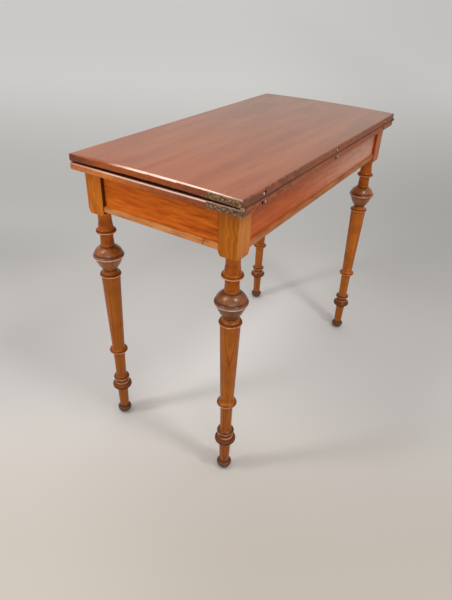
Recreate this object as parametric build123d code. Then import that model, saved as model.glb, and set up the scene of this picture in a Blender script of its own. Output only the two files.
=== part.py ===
from build123d import *
import os
from math import atan2, degrees

# A turnover-top games table in mahogany. The top is two leaves of equal size, hinged at the ends
# of one long side and folded one on the other. The folded top turns a quarter on a stud that
# stands off the middle of the frame, and the upper leaf then unfolds, so that the open square
# lies over the frame. Turning the top also uncovers a storage well between the aprons.
# Millimetres. X runs along the long side, Y across it, Z up, with the origin on the floor under
# the middle. The front is the hinge side, -Y.

# Overall sizes
edge_height = 760.0
leaf_length = 850.0
leaf_width = 430.0
leaf_thickness = 17.0
leaf_gap = 1.0
leaf_crown = 3.5
outer_round = 3.5
inner_round = 3.0
end_overhang = 19.0
side_overhang = 18.5

# Clearances: what slides, what turns, and what is glued or let in
sliding_gap = 0.3
running_clearance = 0.05
joint_clearance = 0.1
overrun = 1.0

# Posts: a square block with a turned neck and ring below it
block_side = 45.0
block_height = 98.5
block_shoulder = 10.0
block_shoulder_cut = 3.4
spigot_radius = 11.0
spigot_length = 22.0
neck_radius = 15.4
neck_flare = 2.2
neck_flare_height = 6.0
upper_neck_length = 38.0
lower_neck_length = 33.2
lower_neck_spread = 1.0

# Rings: a hollow upper face, a small quirk, and a rounded lip
ring_height = 12.0
ring_hollow = 1.0
ring_quirk_depth = 1.2
ring_quirk_height = 0.8
lip_bulge_share = 0.85
first_ring_radius = 23.8
first_ring_lip = 3.0
second_ring_radius = 25.9
second_ring_lip = 3.2
third_ring_radius = 23.9
third_ring_lip = 2.8
fourth_ring_radius = 21.3
fourth_ring_lip = 3.4

# Knop: a beaded collar, a dome, a cove, a rounded lip at the widest place, and a cup-shaped bowl
knop_collar_radius = 16.6
knop_collar_height = 3.0
knop_collar_bulge = 1.3
knop_dome_radius = 33.2
knop_dome_height = 15.5
knop_dome_bulge = 2.4
knop_cove_height = 4.5
knop_cove_bulge = 1.1
knop_lip_root = 33.6
knop_lip_radius = 37.0
knop_lip_height = 8.2
knop_rim_radius = 33.0
knop_rim_height = 1.6
knop_bowl_radius = 15.2
knop_bowl_height = 33.5
knop_bowl_bulge = 1.8

# Shaft: below the second ring it tapers to the third, and a thin spindle carries the bulb
shaft_collar_radius = 15.8
shaft_collar_height = 4.3
shaft_collar_bulge = 1.0
shaft_top_radius = 22.9
shaft_end_radius = 16.2
spindle_top_radius = 15.2
spindle_end_radius = 13.8
spindle_length = 84.7
bulb_neck_radius = 15.0
bulb_neck_height = 6.8
bulb_shoulder_radius = 22.4
bulb_shoulder_height = 9.5
bulb_shoulder_hollow = 0.6
bulb_root_radius = 20.5
bulb_lip_height = 15.0
bulb_lip_bulge = 4.7
bulb_under_height = 6.5
ankle_top_radius = 14.2
ankle_end_radius = 12.4
ankle_length = 68.0
foot_radius = 18.6
foot_upper_height = 8.0
foot_lower_height = 12.0
foot_bulge = 2.4

# Glides: domed metal studs, nailed up into the feet
glide_radius = 10.0
glide_height = 3.0
glide_flat_radius = 6.5
glide_bulge = 0.6
glide_nail_radius = 2.0
glide_nail_length = 15.0

# Aprons, tenoned into the posts, with a bead along the foot of each
apron_height = 88.0
apron_thickness = 20.0
apron_setback = 8.0
tenon_thickness = 8.0
tenon_shoulder = 8.0
tenon_wall = 5.0
bead_height = 13.0
bead_projection = 6.0
bead_round = 3.6
bead_foot_round = 1.2

# Pivot: a stud on a round plate, turning in a cross rail
rail_width = 70.0
rail_thickness = 22.0
rail_housing = 8.0
plate_radius = 32.0
plate_thickness = 3.0
stud_radius = 6.0
stud_tail = 3.0
washer_radius = 15.0
washer_thickness = 2.0
nut_side = 19.0
nut_height = 8.0
plate_screw_circle = 23.0
plate_screw_count = 4
plate_screw_length = 12.0

# Turn stop: a block under the lower leaf
stop_side = 24.0
stop_thickness = 10.0
stop_headroom = 1.5

# Storage well
divider_thickness = 12.0
well_floor_thickness = 6.0
ledger_width = 12.0
ledger_height = 24.0
underside_setback = 2.0
corner_block_leg = 35.0

# Playing surfaces: cloth let into the inner faces of the leaves
cloth_recess = 1.2
cloth_thickness = 1.0
cloth_border = 45.0
cloth_hinge_border = 6.0

# Hinges: straps let into the leaf ends, with half-lapped eyes on a rivet at the corner
strap_length = 78.0
strap_height = 14.0
strap_thickness = 3.0
strap_web = 9.0
strap_inset = 0.5
knuckle_radius = 4.0
rivet_radius = 1.5
screw_head_radius = 3.2
screw_head_height = 1.8
screw_shank_radius = 1.6
screw_tip_height = 3.0
strap_screw_length = 20.0
strap_screw_shares = (0.2, 0.52, 0.87)

# Register pins: each leaf's hinge edge has pins, and beside each a hole for the other's pin
register_shares = (-0.41, 0.0, 0.41)
register_spread = 8.0
register_pin_radius = 2.5
register_pin_projection = 3.0
register_pin_depth = 10.0
register_dome = 1.0
register_hole_radius = 3.2
register_hole_depth = 6.0

# Levels, from the top down
upper_leaf_base = edge_height - leaf_thickness
lower_leaf_top = upper_leaf_base - leaf_gap
lower_leaf_base = lower_leaf_top - leaf_thickness
fold_axis_z = lower_leaf_top + leaf_gap / 2
frame_top = lower_leaf_base - sliding_gap
apron_bottom = frame_top - apron_height
block_bottom = frame_top - block_height
first_ring_top = block_bottom - upper_neck_length
second_neck_top = first_ring_top - ring_height
knop_top = second_neck_top - lower_neck_length
knop_dome_top = knop_top - knop_collar_height
knop_dome_bottom = knop_dome_top - knop_dome_height
knop_lip_top = knop_dome_bottom - knop_cove_height
knop_lip_bottom = knop_lip_top - knop_lip_height
knop_rim_bottom = knop_lip_bottom - knop_rim_height
shaft_top = knop_rim_bottom - knop_bowl_height

# Levels, from the floor up
foot_base = glide_height
foot_widest = foot_base + foot_lower_height
ankle_base = foot_widest + foot_upper_height
ankle_top = ankle_base + ankle_length
bulb_lip_bottom = ankle_top + bulb_under_height
bulb_lip_top = bulb_lip_bottom + bulb_lip_height
bulb_top = bulb_lip_top + bulb_shoulder_height
fourth_ring_top = bulb_top + bulb_neck_height + ring_height
third_ring_bottom = fourth_ring_top + spindle_length
third_ring_top = third_ring_bottom + ring_height

# Plan: the top overhangs the posts, and is set back by half of what its hinge knuckles stand out
leg_spacing_x = leaf_length - 2 * end_overhang - block_side
leg_spacing_y = leaf_width - 2 * side_overhang - block_side
leaf_centre_y = knuckle_radius / 2
hinge_edge_y = leaf_centre_y - leaf_width / 2
far_edge_y = leaf_centre_y + leaf_width / 2
leaf_end_x = leaf_length / 2
strap_face_x = leaf_end_x - joint_clearance
inner_x = leg_spacing_x / 2 + block_side / 2 - apron_setback - apron_thickness
inner_y = leg_spacing_y / 2 + block_side / 2 - apron_setback - apron_thickness
post_inner_x = leg_spacing_x / 2 - block_side / 2
post_inner_y = leg_spacing_y / 2 - block_side / 2

# The pivot: a quarter turn about it brings the hinge line over the middle of the frame
pivot_x = hinge_edge_y / 2
pivot_y = hinge_edge_y / 2

sides = {"left": -1, "right": 1}
corners = {f"{depth}_{side}": (sx, sy)
           for side, sx in sides.items() for depth, sy in {"front": -1, "back": 1}.items()}


def span(x0, x1, y0, y1, z0, z1):
    """A box between two values on each axis, in either order."""
    middle = Pos((x0 + x1) / 2, (y0 + y1) / 2, (z0 + z1) / 2)
    return middle * Box(abs(x1 - x0), abs(y1 - y0), abs(z1 - z0))


def turned(outline):
    """A turning about the Z axis. Each row gives a radius, a height and the bulge of the arc that
    leads to it from the row above: zero for a straight run, less than zero for a hollow."""
    rows = [(0, outline[0][1], 0), *outline, (0, outline[-1][1], 0)]
    edges = [Line(rows[-1][:2], rows[0][:2])]
    for (r0, z0, _), (r1, z1, bulge) in zip(rows, rows[1:]):
        if bulge:
            edges.append(SagittaArc((r0, z0), (r1, z1), bulge))
        elif (r0, z0) != (r1, z1):
            edges.append(Line((r0, z0), (r1, z1)))
    return revolve(Plane.XZ * make_face(edges), Axis.Z)


def ring(top, radius, lip):
    """Rows of a ring: a hollow face runs out and down to a quirk, from which a rounded lip stands
    out and ends the ring."""
    root = radius - lip * lip_bulge_share
    lip_top = top - ring_height + 2 * lip
    return [(root + ring_quirk_depth, lip_top + ring_quirk_height, -ring_hollow),
            (root, lip_top, 0),
            (root, top - ring_height, lip * lip_bulge_share)]


def neck(top, length, end_spread):
    """Rows of a neck that flares where it leaves the piece above and where it meets the next."""
    return [(neck_radius + neck_flare, top, 0),
            (neck_radius, top - neck_flare_height, -neck_flare / 4),
            (neck_radius, top - length / 2, 0),
            (neck_radius + end_spread, top - length, 0)]


def leg_post(sx, sy):
    """Square block with its lower corners cut on the lathe, then neck, ring and neck, ending in a
    spigot. The aprons' tenons enter mortises in the two inner faces."""
    half = block_side / 2
    block = span(-half, half, -half, half, block_bottom, frame_top)
    corner_radius = half * 2 ** 0.5
    block &= turned([(corner_radius, frame_top, 0),
                     (corner_radius, block_bottom + block_shoulder, 0),
                     (corner_radius - block_shoulder_cut, block_bottom, 0)])
    spigot = spigot_radius, knop_top - spigot_length
    stem = turned(neck(block_bottom, upper_neck_length, neck_flare)
                  + ring(first_ring_top, first_ring_radius, first_ring_lip)
                  + neck(second_neck_top, lower_neck_length, lower_neck_spread)
                  + [(spigot_radius, knop_top, 0), (*spigot, 0)])
    post = Pos(sx * leg_spacing_x / 2, sy * leg_spacing_y / 2, 0) * (block + stem)
    for tenon in (long_tenon(sx, sy, joint_clearance), short_tenon(sx, sy, joint_clearance)):
        post -= tenon
    return post


def tenon_length():
    """Tenons stop short of the tenon that enters the post from the other side."""
    return block_side - apron_setback - (apron_thickness + tenon_thickness) / 2 - tenon_wall


def long_tenon(sx, sy, extra):
    """Tenon of a front or back apron at one post, or its mortise where extra is a clearance."""
    middle = inner_y + apron_thickness / 2
    return span(sx * (post_inner_x - extra), sx * (post_inner_x + tenon_length() + extra),
                sy * (middle - tenon_thickness / 2 - extra),
                sy * (middle + tenon_thickness / 2 + extra),
                apron_bottom + tenon_shoulder - extra, frame_top - tenon_shoulder + extra)


def short_tenon(sx, sy, extra):
    """Tenon of a left or right apron at one post, or its mortise where extra is a clearance."""
    middle = inner_x + apron_thickness / 2
    return span(sx * (middle - tenon_thickness / 2 - extra),
                sx * (middle + tenon_thickness / 2 + extra),
                sy * (post_inner_y - extra), sy * (post_inner_y + tenon_length() + extra),
                apron_bottom + tenon_shoulder - extra, frame_top - tenon_shoulder + extra)


def leg_knop():
    """The knop, bored from both ends for the spigots of the post and the shaft."""
    knop = turned([(knop_collar_radius, knop_top, 0),
                   (knop_collar_radius, knop_dome_top, knop_collar_bulge),
                   (knop_dome_radius, knop_dome_bottom, knop_dome_bulge),
                   (knop_lip_root, knop_lip_top, -knop_cove_bulge),
                   (knop_lip_root, knop_lip_bottom, knop_lip_radius - knop_lip_root),
                   (knop_rim_radius, knop_rim_bottom, 0),
                   (knop_bowl_radius, shaft_top, knop_bowl_bulge)])
    bore_radius = spigot_radius + joint_clearance
    bore_depth = spigot_length + joint_clearance
    for start in (knop_top - bore_depth, shaft_top):
        knop -= turned([(bore_radius, start + bore_depth, 0), (bore_radius, start, 0)])
    return knop


def leg_shaft():
    """Spigot, collar and second ring, the long taper to the third ring, the spindle with its ring
    and bulb, and the ankle and foot. The foot is bored for the glide's nail."""
    ring_top = shaft_top - shaft_collar_height
    taper_top = ring_top - ring_height
    shaft = turned([(spigot_radius, shaft_top + spigot_length, 0),
                    (spigot_radius, shaft_top, 0),
                    (knop_bowl_radius, shaft_top, 0),
                    (shaft_collar_radius, ring_top, shaft_collar_bulge)]
                   + ring(ring_top, second_ring_radius, second_ring_lip)
                   + [(shaft_top_radius, taper_top, 0), (shaft_end_radius, third_ring_top, 0)]
                   + ring(third_ring_top, third_ring_radius, third_ring_lip)
                   + [(spindle_top_radius, third_ring_bottom, 0),
                      (spindle_end_radius, fourth_ring_top, 0)]
                   + ring(fourth_ring_top, fourth_ring_radius, fourth_ring_lip)
                   + [(bulb_neck_radius, bulb_top + bulb_neck_height, 0),
                      (bulb_neck_radius, bulb_top, 0),
                      (bulb_shoulder_radius, bulb_lip_top, -bulb_shoulder_hollow),
                      (bulb_root_radius, bulb_lip_bottom, bulb_lip_bulge),
                      (ankle_top_radius, ankle_top, 0),
                      (ankle_end_radius, ankle_base, 0),
                      (foot_radius, foot_widest, foot_bulge),
                      (glide_radius, foot_base, foot_bulge)])
    nail_bore = glide_nail_radius + joint_clearance
    nail_end = foot_base + glide_nail_length + joint_clearance
    return shaft - turned([(nail_bore, nail_end, 0), (nail_bore, foot_base, 0)])


def foot_glide():
    """A flat-based domed stud with a nail."""
    nail_top = glide_height + glide_nail_length
    return turned([(glide_nail_radius, nail_top, 0), (glide_nail_radius, glide_height, 0),
                   (glide_radius, glide_height, 0), (glide_flat_radius, 0, glide_bulge)])


def apron_board(run, reach):
    """An apron between two posts, as seen with its face to the front. The run is from post axis to
    post axis, and the reach from the frame's middle to the post axes."""
    half = run / 2 - block_side / 2
    face = -(reach + block_side / 2 - apron_setback)
    return span(-half, half, face, face + apron_thickness, apron_bottom, frame_top)


def apron_bead(run, reach):
    """The bead on the foot of an apron: its upper edge is well rounded, its lower one a little."""
    half = run / 2 - block_side / 2
    face = -(reach + block_side / 2 - apron_setback)
    bead = span(-half, half, face, face - bead_projection,
                apron_bottom, apron_bottom + bead_height)
    front = bead.faces().sort_by(Axis.Y)[0]
    bead = fillet(front.edges().sort_by(Axis.Z)[-1], bead_round)
    front = bead.faces().sort_by(Axis.Y)[0]
    return fillet(front.edges().sort_by(Axis.Z)[0], bead_foot_round)


def aprons():
    """The four aprons by name. Those at the front and back are housed for the pivot rail."""
    half_x, half_y = leg_spacing_x / 2, leg_spacing_y / 2
    front = apron_board(leg_spacing_x, half_y)
    side = Rot(0, 0, 90) * apron_board(leg_spacing_y, half_x)
    boards = {"front": front, "back": Rot(0, 0, 180) * front,
              "right": side, "left": Rot(0, 0, 180) * side}
    for name, sy in {"front": -1, "back": 1}.items():
        boards[name] += [long_tenon(sx, sy, 0) for sx in sides.values()]
        boards[name] -= pivot_rail_blank(joint_clearance)
    for name, sx in sides.items():
        boards[name] += [short_tenon(sx, sy, 0) for sy in (-1, 1)]
    return boards


def beads():
    """The four beads by name."""
    front = apron_bead(leg_spacing_x, leg_spacing_y / 2)
    side = Rot(0, 0, 90) * apron_bead(leg_spacing_y, leg_spacing_x / 2)
    return {"front": front, "back": Rot(0, 0, 180) * front,
            "right": side, "left": Rot(0, 0, 180) * side}


def pivot_rail_blank(extra):
    """The cross rail without its bore, or the housing for it where extra is a clearance."""
    half = rail_width / 2 + extra
    reach = inner_y + rail_housing
    return span(pivot_x - half, pivot_x + half, -reach - extra, reach + extra,
                frame_top - rail_thickness, frame_top + extra)


def pivot_rail():
    """The cross rail, bored for the stud."""
    bore_radius = stud_radius + running_clearance
    rail_bottom = frame_top - rail_thickness
    bore = turned([(bore_radius, frame_top + overrun, 0), (bore_radius, rail_bottom - overrun, 0)])
    return pivot_rail_blank(0) - Pos(pivot_x, pivot_y, 0) * bore


def well_floor():
    """The bottom board of the well, notched round the two posts at the right end."""
    base = apron_bottom + underside_setback + ledger_height
    board = span(0, inner_x - joint_clearance, -inner_y + joint_clearance,
                 inner_y - joint_clearance, base, base + well_floor_thickness)
    for sy in (-1, 1):
        board -= span(post_inner_x - joint_clearance, inner_x + overrun,
                      sy * (post_inner_y - joint_clearance), sy * (inner_y + overrun),
                      base - overrun, base + well_floor_thickness + overrun)
    return board


def well_divider():
    """The divider at the left end of the well. The turn stop passes over it."""
    base = apron_bottom + underside_setback + ledger_height + well_floor_thickness
    return span(0, divider_thickness, -inner_y + joint_clearance, inner_y - joint_clearance,
                base, lower_leaf_base - stop_thickness - stop_headroom)


def well_ledgers():
    """Two strips on the long aprons, which carry the floor."""
    base = apron_bottom + underside_setback
    end = post_inner_x - corner_block_leg - joint_clearance
    return [span(0, end, sy * inner_y, sy * (inner_y - ledger_width), base, base + ledger_height)
            for sy in (-1, 1)]


def corner_blocks():
    """Glue blocks in the inner corners. Each fits round its post's inner corner."""
    base = apron_bottom + underside_setback
    inset_x = inner_x - post_inner_x
    inset_y = inner_y - post_inner_y
    leg = corner_block_leg
    outline = Polyline((0, 0), (0, inset_y), (-leg, inset_y), (inset_x, -leg), (inset_x, 0),
                       close=True)
    prism = extrude(make_face(outline), ledger_height)
    placed = []
    for sx, sy in corners.values():
        block = prism
        if sx < 0:
            block = mirror(block, Plane.YZ)
        if sy < 0:
            block = mirror(block, Plane.XZ)
        placed.append(Pos(sx * post_inner_x, sy * post_inner_y, base) * block)
    return placed


def screw(length, extra):
    """A countersunk screw, head up at zero height, or its hole where extra is a clearance."""
    return turned([(screw_head_radius + extra, extra, 0),
                   (screw_head_radius + extra, 0, 0),
                   (screw_shank_radius + extra, -screw_head_height, 0),
                   (screw_shank_radius + extra, screw_tip_height - length, 0),
                   (extra, -length - extra, 0)])


def plate_screws(extra):
    """The screws of the pivot plate, driven up into the lower leaf, or their holes."""
    shape = Pos(0, 0, lower_leaf_base) * Rot(180, 0, 0) * screw(plate_screw_length, extra)
    around = PolarLocations(plate_screw_circle, plate_screw_count)
    return [Pos(pivot_x, pivot_y, 0) * place * shape for place in around]


def pivot_plate():
    """Round plate, let in flush with the underside of the lower leaf, with the stud below it."""
    nut_bottom = washer_top() - washer_thickness - nut_height
    plate = turned([(plate_radius, lower_leaf_base + plate_thickness, 0),
                    (plate_radius, lower_leaf_base, 0),
                    (stud_radius, lower_leaf_base, 0),
                    (stud_radius, nut_bottom - stud_tail, 0)])
    return Pos(pivot_x, pivot_y, 0) * plate - plate_screws(joint_clearance)


def washer_top():
    """The washer hangs clear of the rail by the sliding gap."""
    return frame_top - rail_thickness - sliding_gap


def pivot_washer():
    """Washer under the rail, on the stud."""
    inner = stud_radius + running_clearance
    top, bottom = washer_top(), washer_top() - washer_thickness
    washer = turned([(washer_radius, top, 0), (washer_radius, bottom, 0)])
    washer -= turned([(inner, top + overrun, 0), (inner, bottom - overrun, 0)])
    return Pos(pivot_x, pivot_y, 0) * washer


def pivot_nut():
    """Square nut that holds the washer up."""
    inner = stud_radius + running_clearance
    top = washer_top() - washer_thickness
    half = nut_side / 2
    nut = span(-half, half, -half, half, top - nut_height, top)
    nut -= turned([(inner, top + overrun, 0), (inner, top - nut_height - overrun, 0)])
    return Pos(pivot_x, pivot_y, 0) * nut


def turn_stop():
    """Block under the lower leaf. It meets the front apron with the top square on the frame, and
    the back apron after a quarter turn."""
    reach = inner_y - sliding_gap
    return span(reach, reach - stop_side, -reach, -reach + stop_side,
                lower_leaf_base, lower_leaf_base - stop_thickness)


def cupped_section(y0, y1, base, thickness):
    """Cross-section of a layer of the cupped leaf. Its faces follow one arc, which rises by the
    crown between the leaf's long edges."""
    middle = (hinge_edge_y + far_edge_y) / 2
    radius = (leaf_width ** 2 / 4 + leaf_crown ** 2) / (2 * leaf_crown)

    def height(y):
        return leaf_crown - radius + (radius ** 2 - (y - middle) ** 2) ** 0.5

    def arc(level):
        half_way = (y0 + y1) / 2
        return ThreePointArc((y0, level + height(y0)), (half_way, level + height(half_way)),
                             (y1, level + height(y1)))

    low, high = arc(base), arc(base + thickness)
    return make_face([low, high, Line(low @ 0, high @ 0), Line(low @ 1, high @ 1)])


def cupped_layer(half_length, y0, y1, base, thickness):
    """A layer of the cupped leaf, over a length that is centred on the leaf."""
    section = Plane.YZ * cupped_section(y0, y1, base, thickness)
    return extrude(section, half_length, both=True)


def eased(leaf, outer, inner):
    """Rounds a leaf's outer arrises all round, and the inner ones away from the hinge side. Outer
    and inner are the places of those faces among the leaf's faces, counted upward."""
    leaf = fillet(leaf.faces().sort_by(Axis.Z)[outer].edges(), outer_round)
    inner_edges = leaf.faces().sort_by(Axis.Z)[inner].edges().sort_by(Axis.Y)
    return fillet(inner_edges[1:], inner_round)


def strap_outline(start, extra):
    """Outline of a lower strap, with its eye at zero: across is the way from the hinge edge into
    the leaf, and up is up. The bar begins at the start. Extra widens it for the recess."""
    middle = -(leaf_gap + leaf_thickness) / 2
    low, high = middle - strap_height / 2 - extra, middle + strap_height / 2 + extra
    end = strap_length + extra
    bar = Pos((start + end) / 2, middle) * Rectangle(end - start, high - low)
    web = make_face(Polyline((0, high), (strap_web + extra, high), (0, 2 * extra), close=True))
    return bar + web + Circle(knuckle_radius + extra)


def hinge_place(sx, upper):
    """Frame of a strap at one end: its plane is the leaf's end face, with X into the leaf. The
    upper strap lies turned over, and tilted to follow the cupped leaf."""
    lift = 0
    if upper:
        lift = degrees(atan2(4 * leaf_crown * (1 - strap_length / leaf_width), leaf_width))
    end = Plane(origin=(sx * strap_face_x, hinge_edge_y, fold_axis_z), x_dir=(0, 1, 0),
                z_dir=(1, 0, 0))
    flip = Rot(180, 0, 0) if upper else Rot(0, 0, 0)
    return end.location * Rot(0, 0, lift) * flip


def strap_blank(sx, upper):
    """A strap of full thickness, before its eye is halved and bored."""
    inward = sx if upper else -sx
    return hinge_place(sx, upper) * extrude(strap_outline(strap_inset, 0), inward * strap_thickness)


def strap_recess(sx, upper):
    """The recess for a strap, which runs out through the leaf's end and hinge edge."""
    inward = sx if upper else -sx
    outline = strap_outline(-overrun, joint_clearance)
    recess = extrude(outline, inward * (strap_thickness + joint_clearance))
    recess += extrude(outline, -inward * (joint_clearance + overrun))
    return hinge_place(sx, upper) * recess


def eye_space(sx, start, depth):
    """Round space about the fold axis, between two depths below the end face."""
    radius = knuckle_radius + sliding_gap
    face = sx * strap_face_x
    disc = extrude(Circle(radius), depth - start)
    at = Plane(origin=(face - sx * start, hinge_edge_y, fold_axis_z), x_dir=(0, 1, 0),
               z_dir=(-sx, 0, 0))
    return at.location * disc


def strap_screws(sx, upper, extra):
    """The screws of one strap, or their holes."""
    middle = -(leaf_gap + leaf_thickness) / 2
    outward = Rot(0, 0, 0) if (sx > 0) != upper else Rot(180, 0, 0)
    return [hinge_place(sx, upper) * Pos(share * strap_length, middle, 0) * outward
            * screw(strap_screw_length, extra) for share in strap_screw_shares]


def hinge_strap(sx, upper):
    """A strap. The eye of the lower one keeps the outer half of the thickness and the eye of the
    upper one the inner half, and both are bored for the rivet."""
    strap = strap_blank(sx, upper)
    half = strap_thickness / 2
    if upper:
        strap -= eye_space(sx, -overrun, half + running_clearance)
    else:
        strap -= eye_space(sx, half - running_clearance, strap_thickness + overrun)
    strap -= rivet(sx, running_clearance)
    return strap - strap_screws(sx, upper, joint_clearance)


def rivet(sx, extra):
    """The rivet through both eyes of a hinge, or its hole."""
    at = Plane(origin=(sx * (strap_face_x + extra), hinge_edge_y, fold_axis_z), x_dir=(0, 1, 0),
               z_dir=(-sx, 0, 0))
    return at.location * extrude(Circle(rivet_radius + extra), strap_thickness + 2 * extra)


def register_points(upper, hole):
    """Places of the register pins or holes in a leaf's hinge edge. A pin of one leaf lies at the
    same place along the edge as a hole of the other."""
    side = -1 if upper != hole else 1
    reach = (leaf_gap + leaf_thickness) / 2
    z = fold_axis_z + (reach if upper else -reach)
    return [(share * leaf_length + side * register_spread / 2, hinge_edge_y, z)
            for share in register_shares]


def register_pins(upper, extra):
    """Pins that stand out of a leaf's hinge edge, with domed ends, or their bores."""
    length = register_pin_projection - register_dome
    pin = turned([(0, register_pin_projection, 0),
                  (register_pin_radius + extra, length, register_dome / 2),
                  (register_pin_radius + extra, -register_pin_depth - extra, 0)])
    return [Pos(*point) * Rot(90, 0, 0) * pin for point in register_points(upper, False)]


def register_holes(upper):
    """Holes for the other leaf's pins."""
    hole = turned([(register_hole_radius, overrun, 0),
                   (register_hole_radius, -register_hole_depth, 0)])
    return [Pos(*point) * Rot(90, 0, 0) * hole for point in register_points(upper, True)]


def hinge_cuts(upper):
    """Everything that both hinges and the register pins take out of a leaf."""
    cuts = register_pins(upper, joint_clearance) + register_holes(upper)
    for sx in sides.values():
        cuts.append(strap_recess(sx, upper))
        cuts.append(eye_space(sx, -overrun, strap_thickness + joint_clearance))
        cuts += strap_screws(sx, upper, joint_clearance)
    return cuts


def lower_leaf():
    """Flat leaf with the cloth's recess above, and the pivot plate's below."""
    leaf = span(-leaf_end_x, leaf_end_x, hinge_edge_y, far_edge_y, lower_leaf_base, lower_leaf_top)
    leaf = eased(leaf, 0, -1)
    leaf -= span(*cloth_area(), lower_leaf_top - cloth_recess, lower_leaf_top + overrun)
    plate_recess = turned([(plate_radius + joint_clearance, lower_leaf_base + plate_thickness, 0),
                           (plate_radius + joint_clearance, lower_leaf_base - overrun, 0)])
    leaf -= Pos(pivot_x, pivot_y, 0) * plate_recess
    return leaf - plate_screws(joint_clearance) - hinge_cuts(False)


def upper_leaf():
    """Cupped leaf with the cloth's recess below."""
    leaf = cupped_layer(leaf_end_x, hinge_edge_y, far_edge_y, upper_leaf_base, leaf_thickness)
    leaf = eased(leaf, -1, 0)
    x0, x1, y0, y1 = cloth_area()
    recess = cupped_layer(x1, y0, y1, upper_leaf_base - overrun, cloth_recess + overrun)
    return leaf - recess - hinge_cuts(True)


def cloth_area():
    """The playing surface in plan: a wide border of wood on three sides, a narrow one at the hinge."""
    half = leaf_end_x - cloth_border
    return -half, half, hinge_edge_y + cloth_hinge_border, far_edge_y - cloth_border


def lower_cloth():
    """Cloth on the floor of the lower leaf's recess."""
    base = lower_leaf_top - cloth_recess
    return span(*cloth_area(), base, base + cloth_thickness)


def upper_cloth():
    """Cloth in the upper leaf's recess, following its cup."""
    x0, x1, y0, y1 = cloth_area()
    base = upper_leaf_base + cloth_recess - cloth_thickness
    return cupped_layer(x1, y0, y1, base, cloth_thickness)


def all_nodes():
    """Every piece of the table by name."""
    nodes = {}
    for corner, (sx, sy) in corners.items():
        place = Pos(sx * leg_spacing_x / 2, sy * leg_spacing_y / 2, 0)
        nodes[f"leg_post_{corner}"] = leg_post(sx, sy)
        nodes[f"leg_knop_{corner}"] = place * leg_knop()
        nodes[f"leg_shaft_{corner}"] = place * leg_shaft()
        nodes[f"foot_glide_{corner}"] = place * foot_glide()
    nodes |= {f"apron_{side}": board for side, board in aprons().items()}
    nodes |= {f"apron_bead_{side}": bead for side, bead in beads().items()}
    nodes |= {"pivot_rail": pivot_rail(), "well_floor": well_floor(),
              "well_divider": well_divider(), "well_ledgers": well_ledgers(),
              "corner_blocks": corner_blocks(),
              "lower_leaf": lower_leaf(), "lower_baize": lower_cloth(),
              "pivot_plate": pivot_plate(), "pivot_plate_screws": plate_screws(0),
              "pivot_washer": pivot_washer(), "pivot_nut": pivot_nut(), "turn_stop": turn_stop(),
              "upper_leaf": upper_leaf(), "upper_baize": upper_cloth()}
    for level, upper in {"lower": False, "upper": True}.items():
        for side, sx in sides.items():
            nodes[f"hinge_strap_{level}_{side}"] = hinge_strap(sx, upper)
        nodes[f"hinge_screws_{level}"] = [piece for sx in sides.values()
                                          for piece in strap_screws(sx, upper, 0)]
        nodes[f"register_pins_{level}"] = register_pins(upper, 0)
    for side, sx in sides.items():
        nodes[f"hinge_rivet_{side}"] = rivet(sx, 0)
    return nodes


os.makedirs("parts", exist_ok=True)
for name, piece in all_nodes().items():
    shape = Compound(children=piece) if isinstance(piece, list) else piece
    export_step(shape, f"parts/{name}.step")
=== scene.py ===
# %% [markdown]
# # A turnover-top games table
# The solid parts of this table were made beforehand and arrive as a fixed frame: every board,
# turning and hinge already has its real shape and place, in metres. This script gives each of them
# the surface that the real one has, and makes afresh the few pieces that a solid model can't show
# well: the cloth of the playing surfaces and the slotted screws of the hinges.

# %% Load the frame
import bpy
import numpy as np
from mathutils import Matrix, Vector


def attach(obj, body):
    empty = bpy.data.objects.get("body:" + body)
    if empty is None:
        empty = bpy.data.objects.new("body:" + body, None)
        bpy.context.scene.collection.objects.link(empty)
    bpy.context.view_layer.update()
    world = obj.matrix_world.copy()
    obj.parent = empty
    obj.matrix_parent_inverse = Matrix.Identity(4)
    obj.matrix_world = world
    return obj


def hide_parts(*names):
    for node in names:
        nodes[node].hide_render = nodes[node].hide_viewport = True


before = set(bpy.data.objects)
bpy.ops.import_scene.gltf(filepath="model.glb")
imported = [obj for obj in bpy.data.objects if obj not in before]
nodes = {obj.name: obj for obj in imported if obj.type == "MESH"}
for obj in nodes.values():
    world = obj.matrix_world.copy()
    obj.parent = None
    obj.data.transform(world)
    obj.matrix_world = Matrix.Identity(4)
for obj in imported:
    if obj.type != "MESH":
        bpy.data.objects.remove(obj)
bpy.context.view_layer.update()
print("pieces in the frame:", len(nodes))

# %% [markdown]
# ## The camera
# The photograph's own perspective fixes the camera: the table's edges and the rings of its four
# legs were read off, and one camera was fitted to all of them. It stands on the left, 1.09 m above
# the floor, looks down at about 33 degrees, and is rolled by two degrees. It could be aimed with a
# Track To constraint, but that would level it. A camera in Blender looks along its own -Z with +Y
# upward, so the three fitted directions go in as the columns of its matrix, roll and all.

# %% Camera
camera_right = np.array([0.54562, -0.83739, 0.03283])
camera_down = np.array([-0.44291, -0.32140, -0.83698])
camera_ahead = np.array([0.71143, 0.44214, -0.54625])
camera_place = np.array([-1.12906, -0.62405, 1.08656])

eye = bpy.data.cameras.new("eye")
eye.lens = 30.0
eye.sensor_width = 36.0
camera = bpy.data.objects.new("camera", eye)
turned_eye = Matrix(np.stack([camera_right, -camera_down, -camera_ahead], axis=1).tolist())
camera.matrix_world = Matrix.Translation(camera_place.tolist()) @ turned_eye.to_4x4()
bpy.context.scene.collection.objects.link(camera)
bpy.context.scene.camera = camera
print("camera looks down", round(float(np.degrees(np.arcsin(-camera_ahead[2]))), 1), "degrees")

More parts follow.
